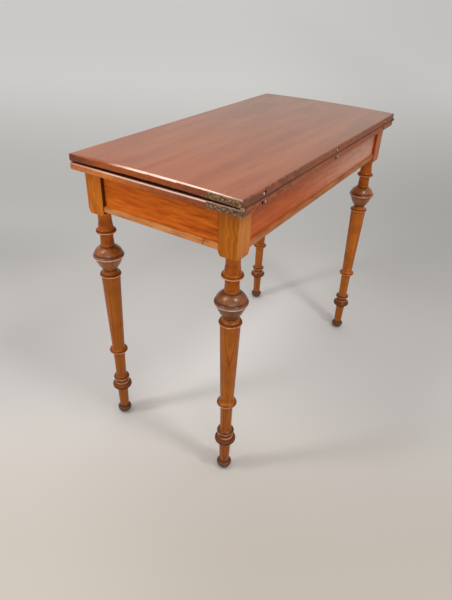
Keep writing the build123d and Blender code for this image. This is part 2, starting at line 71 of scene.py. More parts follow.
# %% [markdown]
# ## Colours and shader nodes
# Colours are easiest to judge as a screen shows them, from 0 to 255, but shaders reckon in linear
# light, so one helper turns the first into the second. A second helper, a small class, holds one
# material while it is built: each method adds a node and returns the socket that carries its
# result. Nodes could be wired by hand in the editor, but here a finish reads as a list of coats,
# laid one over the other as a polisher lays them.

# %% Colours
def tint(red, green, blue):
    """Linear colour of a display colour: a share under 0.04045 is divided by 12.92, and any other
    has 0.055 added, is divided by 1.055 and raised to 2.4."""
    share = np.array([red, green, blue]) / 255
    linear = np.where(share <= 0.04045, share / 12.92, ((share + 0.055) / 1.055) ** 2.4)
    return (*linear.tolist(), 1.0)


print("a warm brown in linear light:", [round(v, 3) for v in tint(148, 84, 56)])


# %% Building a finish node by node
class Finish:
    """A material under construction. A value that is a socket is linked, any other is set."""

    def __init__(self, name):
        self.material = bpy.data.materials.new(name)
        self.material.use_nodes = True
        self.tree = self.material.node_tree
        self.shader = self.tree.nodes["Principled BSDF"]
        self.relief = None
        coordinates = self.put("TexCoord", {}).outputs
        self.place = coordinates["Object"]
        self.x, self.y, self.z = self.parts(self.place)
        self.facing_x, self.facing_y, self.facing_z = self.parts(coordinates["Normal"])

    def fill(self, node, sockets):
        """Links or sets a node's sockets, by their names or numbers."""
        for socket, value in sockets.items():
            if isinstance(value, bpy.types.NodeSocket):
                self.tree.links.new(value, node.inputs[socket])
            else:
                node.inputs[socket].default_value = value
        return node

    def put(self, kind, sockets, **settings):
        """Adds a node with its settings and sockets."""
        node = self.tree.nodes.new("ShaderNode" + kind)
        for setting, value in settings.items():
            setattr(node, setting, value)
        return self.fill(node, sockets)

    def parts(self, place):
        return self.put("SeparateXYZ", {"Vector": place}).outputs[:]

    def joined(self, x, y, z):
        return self.put("CombineXYZ", {"X": x, "Y": y, "Z": z}).outputs[0]

    def reckon(self, operation, *values):
        return self.put("Math", dict(enumerate(values)), operation=operation).outputs[0]

    def less(self, value, taken):
        return self.reckon("SUBTRACT", value, taken)

    def size(self, value):
        """The value without its sign."""
        return self.reckon("ABSOLUTE", value)

    def times(self, value, *others):
        """The product of all the values."""
        for other in others:
            value = self.reckon("MULTIPLY", value, other)
        return value

    def most(self, value, *others):
        """The greatest of all the values."""
        for other in others:
            value = self.reckon("MAXIMUM", value, other)
        return value

    def length(self, x, y, z):
        """The length of an arrow: the root of the sum of its parts' squares."""
        arrow = {0: self.joined(x, y, z)}
        return self.put("VectorMath", arrow, operation="LENGTH").outputs["Value"]

    def rise(self, value, low, high, bottom=0.0, top=1.0):
        """Runs smoothly from the bottom value at low to the top value at high."""
        ends = {"From Min": low, "From Max": high, "To Min": bottom, "To Max": top}
        sockets = {"Value": value, **ends}
        return self.put("MapRange", sockets, interpolation_type="SMOOTHSTEP").outputs[0]

    def spread(self, share, bottom, top):
        """Runs smoothly from the bottom value to the top value as a share goes from 0 to 1."""
        return self.rise(share, 0.0, 1.0, bottom, top)

    def hump(self, value, middle, reach):
        """Is 1 at the middle value and falls smoothly to 0 at the reach to either side."""
        return self.rise(self.size(self.less(value, middle)), reach, 0.0)

    def arris(self, first, second):
        """Marks a rounded edge: there the parts of the normal along both axes are large at once,
        so their product is near a half, and it is 0 on both flat faces."""
        return self.rise(self.times(first, second), 0.18, 0.40)

    def stretch(self, place, scale, offset=(0, 0, 0)):
        return self.put("Mapping", {"Vector": place, "Scale": scale, "Location": offset}).outputs[0]

    def noise(self, place, detail=2.0, roughness=0.5):
        sockets = {"Vector": place, "Scale": 1.0, "Detail": detail, "Roughness": roughness}
        return self.put("TexNoise", sockets).outputs["Fac"]

    def clouds(self, sizes, low=0.35, high=0.65, offset=(0, 0, 0), detail=3.0):
        """Soft cloudy patches, of about the given sizes in metres along the three axes."""
        scale = tuple(1 / size for size in sizes)
        return self.rise(self.noise(self.stretch(self.place, scale, offset), detail), low, high)

    def blend(self, amount, first, second, how="MIX"):
        sockets = {"Factor": amount, 6: first, 7: second}
        return self.put("Mix", sockets, data_type="RGBA", blend_type=how).outputs[2]

    def lay(self, amount, coat, how="MIX"):
        """Lays a coat over the colour, by an amount from 0, which leaves the colour, to 1. A coat
        is a display colour or a socket."""
        if not isinstance(coat, bpy.types.NodeSocket):
            coat = tint(*coat)
        self.colour = self.blend(amount, self.colour, coat, how)

    def ramp(self, value, places, colours):
        """Runs through display colours, each at its own place from 0 to 1."""
        node = self.put("ValToRGB", {"Fac": value})
        while len(node.color_ramp.elements) < len(places):
            node.color_ramp.elements.new(1.0)
        for element, place, colour in zip(node.color_ramp.elements, places, colours):
            element.position = place
            element.color = tint(*colour)
        return node.outputs["Color"]

    def bump(self, height, depth):
        """Normals as if the surface stood up by the height times the depth, in metres."""
        return self.put("Bump", {"Height": height, "Distance": depth}).outputs[0]

    def close(self, **sockets):
        """Gives the shader the colour, the relief and its own sockets, named with _ for a space."""
        self.fill(self.shader, {"Base Color": self.colour})
        if self.relief is not None:
            self.fill(self.shader, {"Normal": self.relief})
        self.fill(self.shader, {name.replace("_", " "): value for name, value in sockets.items()})
        return self.material


print("a finish can", ", ".join(name for name in vars(Finish) if not name.startswith("_")))

# %% [markdown]
# ## Wood
# Wood is a solid pattern, and a cut only uncovers it. A picture of grain wrapped round a board
# would break at every edge. So the grain isn't painted on a face: it is reckoned through the whole
# board from the place of each point, and it runs on over an edge as the real one does. Growth
# rings are the distance from a heart line beside the board, which noise makes wander. Streaks,
# fibres and pores are noise that is drawn out along the grain. The same recipe serves every wood
# here, with its own direction, heart line and colours.

# %% Grain
# Axes in the order along, across and up, for a grain that runs along X, Y or Z
LONG, CROSS, UPRIGHT = (0, 1, 2), (1, 0, 2), (2, 0, 1)

# Paces are how many waves of noise there are to the metre
drift_across, fibre_pace, pore_pace = 7, (20, 800, 800), (80, 2200, 2200)


def wood(name, order, colours, heart, ring_width, wander, rings=1.0, streaks=0.8, fibres=0.4,
         streak_length=0.3, streak_width=0.011, pore_depth=0.4, folded=(), drift_pace=1.6):
    """A finish with its grain's colour worked out. Its tone is the weighted sum of three noises:
    one of the distance from the heart line plus a wandering drift, over the ring width, and two
    drawn out along the grain. Dark, middle and pale colours follow the tone, and pores darken it.
    Where folded gives a leg's axis, the rings are reckoned outward from it on all four legs."""
    finish = Finish(name)
    axes = [finish.x, finish.y, finish.z]
    true_place = finish.joined(*(axes[axis] for axis in order))
    for axis, centre in enumerate(folded):
        axes[axis] = finish.less(finish.size(axes[axis]), centre)
    across, up = (axes[axis] for axis in order[1:])
    drift_scale = (drift_pace, drift_across, drift_across)
    drift = finish.noise(finish.stretch(true_place, drift_scale), detail=3)
    distance = finish.length(0.0, finish.less(across, heart[0]), finish.less(up, heart[1]))
    distance = finish.reckon("MULTIPLY_ADD", drift, wander, distance)
    ring_place = {"W": finish.reckon("DIVIDE", distance, ring_width), "Scale": 1.0, "Detail": 2.0}
    ring_tone = finish.put("TexNoise", ring_place, noise_dimensions="1D").outputs["Fac"]
    streak_pace = (1 / streak_length, 1 / streak_width, 1 / streak_width)
    streak_tone = finish.noise(finish.stretch(true_place, streak_pace), detail=3)
    fibre_tone = finish.noise(finish.stretch(true_place, fibre_pace))
    tone = finish.reckon("MULTIPLY_ADD", streak_tone, streaks, finish.times(ring_tone, rings))
    tone = finish.reckon("MULTIPLY_ADD", fibre_tone, fibres, tone)
    total = rings + streaks + fibres
    finish.tone = finish.rise(tone, 0.34 * total, 0.66 * total)
    finish.colour = finish.ramp(finish.tone, (0.0, 0.5, 1.0), colours)
    pores = finish.rise(finish.noise(finish.stretch(true_place, pore_pace)), 0.6, 0.72)
    finish.lay(finish.times(pores, pore_depth), colours[0], "MULTIPLY")
    finish.relief = finish.bump(finish.less(finish.tone, pores), 0.00005)
    return finish


print("grain orders:", LONG, CROSS, UPRIGHT)

# %% [markdown]
# ## The top
# The two leaves are old mahogany with a rubbed polish, satin rather than bright, and hazy in
# places. Their grain runs the long way. The ends show end grain, which drinks more polish and is
# deeper in colour, and the lower leaf's ends have faded to tan towards the back. Handling has
# stained the hinge side. A painted sheen greys the top towards the right, a painted highlight runs
# pale along the ends' arrises, and painted shade darkens the gap between the leaves and the holes
# in the hinge edge. Such marks could be brushed on as a mask, but they belong to places and faces,
# so each is reckoned from where a point is and which way its face looks. The places come from the
# solid pieces' own boxes.

# %% Places on the leaves
def box_of(name):
    """Lowest and highest corner of a solid piece's box, to a thousandth of a millimetre."""
    corners = np.array(nodes[name].bound_box)
    return np.round([corners.min(axis=0), corners.max(axis=0)], 6).tolist()


def middle_of(name):
    """Middle of a solid piece's box: half the sum of its corners."""
    return [(low + high) / 2 for low, high in zip(*box_of(name))]


lower_low, lower_high = box_of("lower_leaf")
upper_low, upper_high = box_of("upper_leaf")
leaf_end, hinge_edge = lower_high[0], lower_low[1]
leaf_middle, leaf_half = (lower_high[1] + hinge_edge) / 2, (lower_high[1] - hinge_edge) / 2
leaf_thickness = lower_high[2] - lower_low[2]
leaf_crown = upper_high[2] - upper_low[2] - leaf_thickness
lower_face, upper_face = lower_high[2], upper_low[2]

# Where a coat begins and where it is full, along Y at the hinge and along X near an end
hinge_side, strap_side = (-0.19, -0.20), (-0.160, -0.185)
end_rim, end_corner = (leaf_end - 0.014, leaf_end - 0.005), (leaf_end - 0.03, leaf_end - 0.005)

# The same for the part of a normal that points the way a coat asks for, from a flat face to one
# that only begins to turn
flat_on, mostly, partly, barely = (0.75, 0.95), (0.5, 0.8), (0.3, 0.6), (0.1, 0.3)
print("a leaf is", round(leaf_thickness, 4), "m thick, and the upper one is cupped by",
      round(leaf_crown, 4), "m")


# %% Grain and haze of a leaf
def crowned(finish, crown):
    """How far the cup lifts the leaf at each place: the crown times 1 - ((y - middle) / half)^2."""
    share = finish.reckon("DIVIDE", finish.less(finish.y, leaf_middle), leaf_half)
    return finish.reckon("MULTIPLY_ADD", finish.times(share, share), -crown, crown)


def leaf_grain(name, crown):
    """The leaf's grain under hazy polish, with a painted sheen that greys it towards the right in
    hazy patches. It also works out what later coats ask of each point: how far it would be from the
    floor without the cup, how far along the leaf from its middle, how squarely its face looks out
    of an end, and whether it is on the hinge edge."""
    finish = wood(name, LONG, [(142, 72, 34), (155, 84, 44), (165, 94, 54)], heart=(0.10, 0.50),
                  ring_width=0.03, wander=0.08, rings=0.6, streaks=0.8, fibres=0.25,
                  streak_width=0.024)
    broad = finish.clouds((0.9, 0.09, 0.3), offset=(3, 1, 0))
    finish.lay(finish.times(broad, 0.3), (138, 68, 30))
    finish.haze = finish.clouds((0.22, 0.07, 0.2))
    # Painted sheen: a greyer colour, stronger towards the right and in hazy patches
    painted_sheen = finish.times(finish.rise(finish.x, -0.45, 0.35, 0.05, 0.8),
                         finish.spread(finish.haze, 0.55, 1.0))
    finish.lay(painted_sheen, (126, 93, 73))
    finish.height = finish.less(finish.z, crowned(finish, crown))
    finish.reach = finish.size(finish.x)
    finish.outward = finish.size(finish.facing_x)
    finish.frontward = finish.times(finish.facing_y, -1.0)
    finish.edge = finish.times(finish.rise(finish.frontward, *mostly),
                               finish.rise(finish.y, *hinge_side))
    return finish


print("the cup falls to nothing", round(leaf_half, 3), "m to either side of the leaf's middle")


# %% Ends and hinge edge of a leaf
end_span, end_places = (-0.19, 0.21), (0.08, 0.45, 0.9, 1.0)
stain_drift = (-0.10, -0.26)


def leaf_ends(finish, end_colours, edge_colour):
    """End grain in colours that run from the hinge to the back, with darker mottles, and the hinge
    edge, which is greyer at its corners and stained by hands, most on the left."""
    ends = finish.ramp(finish.rise(finish.y, *end_span), end_places, end_colours)
    mottled = finish.spread(finish.clouds((0.02, 0.012, 0.006)), 0.0, 0.35)
    ends = finish.blend(mottled, ends, tint(180, 150, 130), "MULTIPLY")
    finish.lay(finish.rise(finish.outward, *mostly), ends)
    finish.lay(finish.times(finish.edge, 0.85), edge_colour)
    corner = finish.rise(finish.reach, *end_corner)
    finish.lay(finish.times(finish.edge, corner, 0.5), (70, 46, 36))
    stains = finish.times(finish.clouds((0.016, 0.02, 0.007), 0.4, 0.6),
                          finish.rise(finish.x, *stain_drift, 0.5, 1.0))
    handled = finish.most(finish.edge, finish.arris(finish.frontward, finish.facing_z))
    finish.lay(finish.times(stains, handled, 0.55), (62, 34, 28))


print("the ends' colours lie at", end_places, "of the way from the hinge")


# %% Painted highlight and painted shade of a leaf
highlight_depth, highlight_reach = 0.0027, 0.0028
highlight_corner_spared = (-0.205, -0.140, 0.35)
face_band, gap_depth, joint_depth = 0.0012, (0.0022, 0.0008), (0.0020, 0.0006)


def leaf_highlight(finish, face, inward, highlight_span):
    """A painted highlight, pale along the ends' arrises, from the first place of the span along Y
    to the second, from the third value, a share, to 1, and less at the hinge corner. Where the
    leaf's inner face looks up, it is a line just below that face, and otherwise the upper arris."""
    if inward > 0:
        line = finish.times(finish.hump(finish.height, face - highlight_depth, highlight_reach),
                            finish.rise(finish.outward, *partly))
    else:
        line = finish.arris(finish.outward, finish.facing_z)
    rubbed = finish.times(finish.rise(finish.y, *highlight_span), finish.spread(finish.haze, 0.9, 1.0),
                          finish.rise(finish.y, *highlight_corner_spared, 1.0))
    # Painted highlight along the arrises
    finish.lay(finish.times(rubbed, line), (250, 211, 195))


def leaf_gap_shade(finish, face, inward):
    """Painted shade between the leaves: on the inner face near the ends, beside the straps, along
    the gap's arrises and in the joint of the hinge edge."""
    looks_in = finish.times(finish.facing_z, inward)
    on_face = finish.times(finish.hump(finish.height, face, face_band),
                           finish.rise(looks_in, *flat_on))
    near_end = finish.times(on_face, finish.rise(finish.reach, *end_rim))
    looks_out = finish.rise(finish.outward, *barely)
    beside_strap = finish.times(finish.rise(finish.y, *strap_side), looks_out,
                                finish.rise(looks_in, *barely))
    under_face = finish.times(finish.less(face, finish.height), inward)
    gap = finish.times(finish.rise(under_face, *gap_depth), looks_out)
    joint = finish.times(finish.rise(under_face, *joint_depth), finish.edge)
    shade_and_dirt = finish.times(finish.most(near_end, gap, joint), 0.8)
    # Near-black painted shade in the gap between the leaves
    finish.lay(finish.most(shade_and_dirt, finish.times(beside_strap, 0.9)), (46, 15, 7))


# The line below the lower leaf's inner face is a painted highlight
print("the lower leaf's worn line is", highlight_depth, "m below its inner face")


# %% Register holes
pin_width = 0.005
pin_row = box_of("register_pins_lower")
hole_spacing = (pin_row[1][0] - pin_row[0][0] - pin_width) / 2
hole_rim, hole_end = (0.0042, 0.0031), (hinge_edge + 0.013, hinge_edge + 0.008)


def shade_register_holes(finish, middle_x, middle_z):
    """Painted shade inside the holes in the hinge edge. The distance to the middle hole is wrapped
    by the spacing, so that each point is measured from its nearest hole."""
    from_hole = finish.less(finish.x, middle_x)
    from_hole = finish.reckon("WRAP", from_hole, hole_spacing / 2, -hole_spacing / 2)
    away = finish.length(from_hole, 0.0, finish.less(finish.z, middle_z))
    hole = finish.times(finish.rise(away, *hole_rim), finish.rise(finish.y, *hole_end))
    # Near-black painted shade in each hole
    finish.lay(hole, (24, 12, 8))


print("three holes to a leaf,", round(hole_spacing, 4), "m apart")


# %% Leaf finish
def leaf_finish(name, face, crown, inward, highlight_span, end_colours, edge_colour, own_pins, other_pins):
    """Finish of a leaf, coat by coat. Inward is the upward part of a normal on the inner face, 1
    or -1. Its holes lie at the height of its own pins, where the other leaf's pins come."""
    finish = leaf_grain(name, crown)
    leaf_ends(finish, end_colours, edge_colour)
    leaf_highlight(finish, face, inward, highlight_span)
    leaf_gap_shade(finish, face, inward)
    shade_register_holes(finish, middle_of(other_pins)[0], middle_of(own_pins)[2])
    polish = finish.most(finish.spread(finish.haze, 0.2, 0.28), finish.times(finish.edge, 0.55))
    return finish.close(Roughness=polish, Specular_IOR_Level=0.46)


def dress(finish, *names):
    """Gives solid pieces a finish, by the beginnings of their names."""
    dressed = [name for name in nodes if name.startswith(names)]
    for name in dressed:
        nodes[name].material_slots[0].material = finish
    print(finish.name, "on", len(dressed), "pieces")


upper_wood = leaf_finish("upper_leaf_mahogany", upper_face, leaf_crown, -1.0, (0.115, 0.04),
                         [(132, 60, 16), (162, 76, 2), (166, 76, 2), (112, 46, 10)],
                         (136, 70, 32), "register_pins_upper", "register_pins_lower")
lower_wood = leaf_finish("lower_leaf_mahogany", lower_face, 0.0, 1.0, (0.21, 0.08, 0.3),
                         [(140, 60, 14), (162, 78, 10), (210, 118, 34), (190, 106, 40)],
                         (156, 74, 26), "register_pins_lower", "register_pins_upper")
dress(upper_wood, "upper_leaf")
dress(lower_wood, "lower_leaf", "turn_stop")

# %% [markdown]
# ## Aprons and beads
# The aprons are redder than the posts, with short wavy figure, and the bead under each is a light
# wood. Their inner sides were never polished. An apron could be split into a polished and a bare
# piece, but a coat that asks which way a face looks does the same and leaves the board whole. A
# second colour takes over towards the far end in the same way, by the place along the board; on
# the long aprons it is a painted sheen, paler and greyer. Painted shade and dirt darken the
# corners beside the posts. The left bead was made of two lengths, and their dark joint shows near
# its front end.

# %% Apron finish
post_inner = (box_of("apron_bead_front")[1][0], box_of("apron_bead_left")[1][1])
corner_shade_and_dirt = 0.003


def apron_finish(name, order, colours, far_colours_and_sheen, far_share, far_drift, gloss):
    """Finish of the aprons: wavy grain, a drift along the apron to the far colours, which on the
    long aprons is a painted sheen, bare dusty wood on the inner side, where the place and the
    normal across have opposite signs, and painted shade and dirt in the corners beside the posts."""
    finish = wood(name, order, colours, heart=(0.03, 0.40), ring_width=0.01, wander=0.08,
                  rings=0.4, streaks=0.9, fibres=0.5, streak_length=0.05, streak_width=0.006)
    along, across, facing_across, corner = finish.x, finish.y, finish.facing_y, post_inner[0]
    if order == CROSS:
        along, across, facing_across, corner = finish.y, finish.x, finish.facing_x, post_inner[1]
    bare = finish.blend(0.6, finish.colour, tint(146, 104, 72))
    finish.lay(finish.times(finish.clouds((0.05, 0.05, 0.02), 0.4, 0.7), 0.25), colours[2])
    # On the long aprons the far colours are a painted sheen
    far = finish.blend(finish.tone, tint(*far_colours_and_sheen[0]), tint(*far_colours_and_sheen[1]))
    finish.lay(finish.times(finish.rise(along, *far_drift), far_share), far)
    finish.lay(finish.rise(finish.times(across, facing_across), 0.05, -0.05), bare)
    # Painted shade and dirt in the corners beside the posts
    finish.lay(finish.rise(finish.size(along), corner - corner_shade_and_dirt, corner), (60, 20, 6))
    return finish.close(Roughness=0.26, Specular_IOR_Level=gloss)


# The long aprons' far colours are a painted sheen, paler and greyer towards the far end
dress(apron_finish("apron_mahogany_long", LONG, [(164, 67, 12), (176, 78, 14), (188, 90, 22)],
                   [(186, 136, 112), (204, 156, 134)], 0.82, (-0.22, 0.34), 0.18),
      "apron_front", "apron_back")
dress(apron_finish("apron_mahogany_cross", CROSS, [(146, 57, 8), (188, 88, 14), (212, 110, 28)],
                   [(210, 98, 14), (228, 118, 28)], 0.45, (-0.16, 0.08), 0.10),
      "apron_left", "apron_right")

# %% Bead finish
joint_lean, joint_half = 0.3, 0.0016


def bead_finish(name, order, colours, joint=None):
    """Finish of the beads. Where joint is given, a dark joint shows where the place along Y plus
    the lean times the height comes to it."""
    finish = wood(name, order, colours, heart=(0.02, 0.5), ring_width=0.01, wander=0.04, rings=0.6,
                  streaks=1.0, streak_length=0.05)
    if joint is not None:
        slope = finish.reckon("MULTIPLY_ADD", finish.z, joint_lean, finish.y)
        finish.lay(finish.hump(slope, joint, joint_half), (58, 26, 10))
    return finish.close(Roughness=0.45, Specular_IOR_Level=0.25)


dress(bead_finish("bead_long", LONG, [(136, 74, 30), (158, 92, 44), (176, 108, 62)]),
      "apron_bead_front", "apron_bead_back")
dress(bead_finish("bead_cross", CROSS, [(162, 92, 40), (190, 118, 58), (210, 142, 84)], 0.078),
      "apron_bead_left", "apron_bead_right")

# %% [markdown]
# ## Legs
# The legs are a golden brown, with a plain upright figure. Where the taper cuts through the growth
# rings they come out as nested arrowheads, and that follows by itself from rings reckoned in the
# solid. Polish and dust lie in the quirks beside each ring and on the knop, which are darker, with
# painted shade in them as well, and the lips, which hands and cloths reach, are paler with wear and
# a painted highlight. Painted light makes the back and right legs brighter, and the posts' front
# faces paler. A turning is the same all the way round, so such a band needs only its height and
# half its width, read from the turning's profile.

# %% Places on the legs
leg_axis = tuple(middle_of("leg_knop_back_right")[:2])
between_legs = (-0.1, 0.1)

# Bands round the leg: the height of the middle, and how far the band reaches to either side
# The quirks are darkened by dirt and painted shade
post_quirks = [(0.6240, 0.0028), (0.5826, 0.0020), (0.5758, 0.0016)]
knop_quirks = [(0.5420, 0.0036), (0.5222, 0.0048), (0.5106, 0.0022), (0.4772, 0.0030)]
shaft_quirks = [(0.4672, 0.0020), (0.4600, 0.0016), (0.2315, 0.0018), (0.2250, 0.0016),
                (0.1360, 0.0018), (0.1282, 0.0018), (0.1205, 0.0020), (0.1128, 0.0022),
                (0.1036, 0.0105), (0.0230, 0.0030)]
quirks = post_quirks + knop_quirks + shaft_quirks
# The lips carry wear and a painted highlight
lips = [(0.5788, 0.0019), (0.5157, 0.0024), (0.4634, 0.0019), (0.2282, 0.0017), (0.1320, 0.0019),
        (0.1170, 0.0011)]
bowl = (0.496, 0.018)

# Heights where a coat begins and where it is full
neck_top, neck_foot, block_foot = (0.632, 0.606), (0.54, 0.55), (0.60, 0.66)
bulb_top, bulb_foot = (0.142, 0.137), (0.088, 0.093)
browned_foot, dusty_foot, lip_highlight_top = (0.24, 0.10), (0.036, 0.016), (0.15, 0.50)
print("a leg has", len(quirks), "quirks and", len(lips), "lips")


# %% Tones of the legs
def leg_tones(finish, brown, light_gains):
    """Painted light changes the brightness of the back and right legs by the given factors, and all
    legs are browned near the foot and in patches."""
    # Painted light: the back and right legs are made brighter or darker by their factors
    side = finish.most(finish.rise(finish.x, *between_legs, 1.0, light_gains[1]),
                       finish.rise(finish.y, *between_legs, 1.0, light_gains[0]))
    finish.lay(1.0, finish.joined(side, side, side), "MULTIPLY")
    patches = finish.times(finish.clouds((0.05, 0.05, 0.04), 0.45, 0.65), 0.3)
    finish.lay(finish.most(finish.rise(finish.z, *browned_foot, 0.0, 0.4), patches), brown)


def leg_stretches(finish):
    """Colours on stretches of the leg: the neck with its red mottles, painted light on the posts'
    front faces, which makes them paler, and darker colour on the knop's bowl and the bulb above the
    foot. All but the neck fade on the far legs."""
    neck = finish.times(finish.rise(finish.z, *neck_top), finish.rise(finish.z, *neck_foot))
    finish.lay(finish.times(neck, 0.8), (148, 72, 6))
    reddened = finish.clouds((0.018, 0.018, 0.016), 0.48, 0.62, offset=(1, 2, 3))
    finish.lay(finish.times(neck, reddened, 0.5), (108, 36, 8))
    # Painted light: the posts' front faces are paler
    front = finish.times(finish.rise(finish.facing_y, -0.5, -0.9),
                         finish.rise(finish.z, *block_foot),
                         finish.rise(finish.x, *between_legs, 0.4, 0.0))
    finish.lay(front, (214, 136, 62))
    bowl_share = finish.times(finish.hump(finish.z, *bowl),
                              finish.rise(finish.y, *between_legs, 0.5, 0.0),
                              finish.rise(finish.x, *between_legs, 1.0, 0.1))
    finish.lay(bowl_share, (74, 30, 12))
    bulb = finish.times(finish.rise(finish.z, *bulb_top), finish.rise(finish.z, *bulb_foot),
                        finish.rise(finish.y, *between_legs, 0.45, 0.15))
    finish.lay(bulb, (76, 38, 18))


print("the far legs' tones take over from", between_legs[0], "to", between_legs[1], "m")


# %% Rings, foot and reveals of the legs
reveal_foot, reveal_depth = (0.630, 0.631), (0.0004, 0.0002)
reveal_shade_colours = ((150, 52, 22), (52, 20, 8))


def leg_rings(finish, quirk_colour, lip_wear_and_highlight_colour):
    """Pale lips, a painted highlight with some wear, most on the left and higher up, and dark
    quirks of dirt and painted shade, both broken by patches. The foot is grey with dust."""
    # Painted highlight, with some wear, on the lips
    worn = finish.times(finish.most(*(finish.hump(finish.z, *lip) for lip in lips)),
                        finish.rise(finish.z, *lip_highlight_top, 0.65, 0.8),
                        finish.clouds((0.012, 0.012, 0.02), 0.2, 0.6),
                        finish.rise(finish.x, *between_legs, 1.0, 0.55))
    finish.lay(worn, lip_wear_and_highlight_colour)
    # Dirt and painted shade in the quirks
    shade_and_dirt = finish.most(*(finish.hump(finish.z, *quirk) for quirk in quirks))
    patchy = finish.clouds((0.02, 0.02, 0.01), 0.2, 0.6)
    finish.lay(finish.times(shade_and_dirt, finish.spread(patchy, 0.35, 0.8)), quirk_colour)
    finish.lay(finish.times(finish.rise(finish.z, *dusty_foot), 0.8), (72, 58, 44))


def leg_reveal_shade(finish):
    """Painted shade and dirt on the blocks' narrow faces beside the aprons."""
    above = finish.rise(finish.z, *reveal_foot)
    for place, inner, colour in zip((finish.x, finish.y), post_inner, reveal_shade_colours):
        beside = finish.rise(finish.size(place), *(inner + depth for depth in reveal_depth))
        finish.lay(finish.times(beside, above, 0.9), colour)


print("the blocks' reveals begin", reveal_foot[0], "m above the floor")


# %% Leg finish
# Colours of the dirt and painted shade in the quirks, and of the worn, highlighted lips
ring_dirt_and_shade, lip_wear_and_highlight = (54, 26, 14), (234, 174, 142)


def leg_finish(name, colours, light_gains, ring_width=0.0013, wander=0.006, rings=0.9, drift_pace=1.6,
               brown=(122, 60, 22), quirk_colour=ring_dirt_and_shade, lip_wear_and_highlight_colour=lip_wear_and_highlight, gloss=0.3,
               roughness=0.25):
    """Finish of a leg's pieces, coat by coat. The light factors are painted light: how many times
    brighter the back and right legs are made than the near one."""
    finish = wood(name, UPRIGHT, colours, heart=(-0.045, -0.034), ring_width=ring_width,
                  wander=wander, rings=rings, streaks=0.4, fibres=0.25, folded=leg_axis,
                  drift_pace=drift_pace)
    leg_tones(finish, brown, light_gains)
    leg_stretches(finish)
    leg_rings(finish, quirk_colour, lip_wear_and_highlight_colour)
    leg_reveal_shade(finish)
    return finish.close(Roughness=roughness, Specular_IOR_Level=gloss)


shaft_wood = leg_finish("leg_brown", [(120, 59, 13), (155, 83, 16), (170, 95, 24)], (1.05, 1.30),
                        rings=0.65, gloss=0.18)
knop_wood = leg_finish("knop_brown", [(88, 42, 8), (110, 56, 12), (136, 76, 22)], (1.75, 1.55),
                       ring_width=0.02, wander=0.03, rings=0.3, quirk_colour=(42, 24, 18),
                       lip_wear_and_highlight_colour=(238, 182, 152), gloss=0.55, roughness=0.28)
post_wood = leg_finish("post_golden", [(152, 80, 9), (168, 90, 10), (184, 105, 20)], (1.3, 0.95),
                       ring_width=0.004, wander=0.05, rings=0.6, drift_pace=8.0,
                       brown=(160, 80, 10), gloss=0.15)
dress(shaft_wood, "leg_shaft")
dress(knop_wood, "leg_knop")
dress(post_wood, "leg_post")

# %% [markdown]
# ## Inside the frame
# Under the top is plain pine, never polished: a cross rail for the pivot, the well's floor,
# divider and ledgers, and the glue blocks. It has browned with age and gathered dust. The same
# recipe of grain serves, with narrow rings, few pores and no gloss.

# %% Pine finish
def pine_finish(name, order):
    """Bare pine under dust."""
    colours = [(164, 116, 70), (186, 138, 88), (202, 158, 106)]
    finish = wood(name, order, colours, heart=(0.03, 0.57), ring_width=0.0035, wander=0.012,
                  rings=0.7, streaks=0.5, fibres=0.3, pore_depth=0.1)
    finish.lay(finish.times(finish.clouds((0.12, 0.12, 0.05)), 0.3), (120, 92, 64))
    return finish.close(Roughness=0.78)


dress(pine_finish("pine_cross", CROSS), "pivot_rail", "well_divider")
dress(pine_finish("pine_long", LONG), "well_floor", "well_ledgers", "corner_blocks")

# %% [markdown]
# ## Metal
# The hinge straps are brass that has gone brown, with small yellow patches, and a painted
# highlight runs pale along their upper edges. The register pins are bright where they enter their
# holes. The pivot is iron, and the glides are steel. Old metal isn't evenly bright, so a plain
# metallic colour would look new: cloudy noise sets both where the patina has gone and how rough it
# is.

# %% Metal finishes
grit_pace, highlight_rise = (900, 900, 900), 0.0014


def metal_finish(name, dark, bright, patch_size, bright_from, bright_to, rough, highlight_above=None,
                 cup=0.0):
    """A tarnished metal: dark patina, and bright worn patches where cloudy noise is high. Where a
    highlight height is given, counted without the cup of the leaf, the metal above it gets a pale
    painted highlight, less at the hinge corner."""
    finish = Finish(name)
    worn = finish.clouds((patch_size,) * 3, bright_from, bright_to, detail=5.0)
    grit = finish.noise(finish.stretch(finish.place, grit_pace), detail=3)
    finish.colour = finish.blend(worn, tint(*dark), tint(*bright))
    finish.lay(finish.rise(grit, 0.4, 0.7, 0.0, 0.35), dark, "MULTIPLY")
    if highlight_above is not None:
        height = finish.less(finish.z, crowned(finish, cup))
        # Painted highlight along the strap's upper edge
        pale = finish.times(finish.rise(height, highlight_above, highlight_above + highlight_rise),
                            finish.rise(finish.y, *highlight_corner_spared, 0.85))
        finish.lay(pale, (236, 204, 186))
    finish.relief = finish.bump(grit, 0.00004)
    return finish.close(Metallic=0.85, Roughness=finish.spread(worn, rough + 0.18, rough))


brown_brass = ((120, 88, 64), (212, 172, 126), 0.0040, 0.44, 0.78, 0.4)

# The straps' painted highlight begins this far below the lower leaf's inner face and the upper's
# top
lower_highlight, upper_highlight = lower_face - 0.0032, upper_face + leaf_thickness - 0.0038
dress(metal_finish("brass_browned", *brown_brass, lower_highlight), "hinge_strap_lower")
dress(metal_finish("brass_highlighted", *brown_brass, upper_highlight, leaf_crown), "hinge_strap_upper")
dress(metal_finish("pin_bright", (150, 128, 112), (216, 198, 182), 0.004, 0.35, 0.55, 0.24),
      "register_pins")
dress(metal_finish("iron_blackened", (58, 50, 46), (96, 86, 78), 0.02, 0.5, 0.7, 0.45),
      "pivot_plate", "pivot_washer", "pivot_nut")
dress(metal_finish("steel_dulled", (84, 78, 68), (150, 144, 134), 0.006, 0.45, 0.65, 0.35),
      "foot_glide")

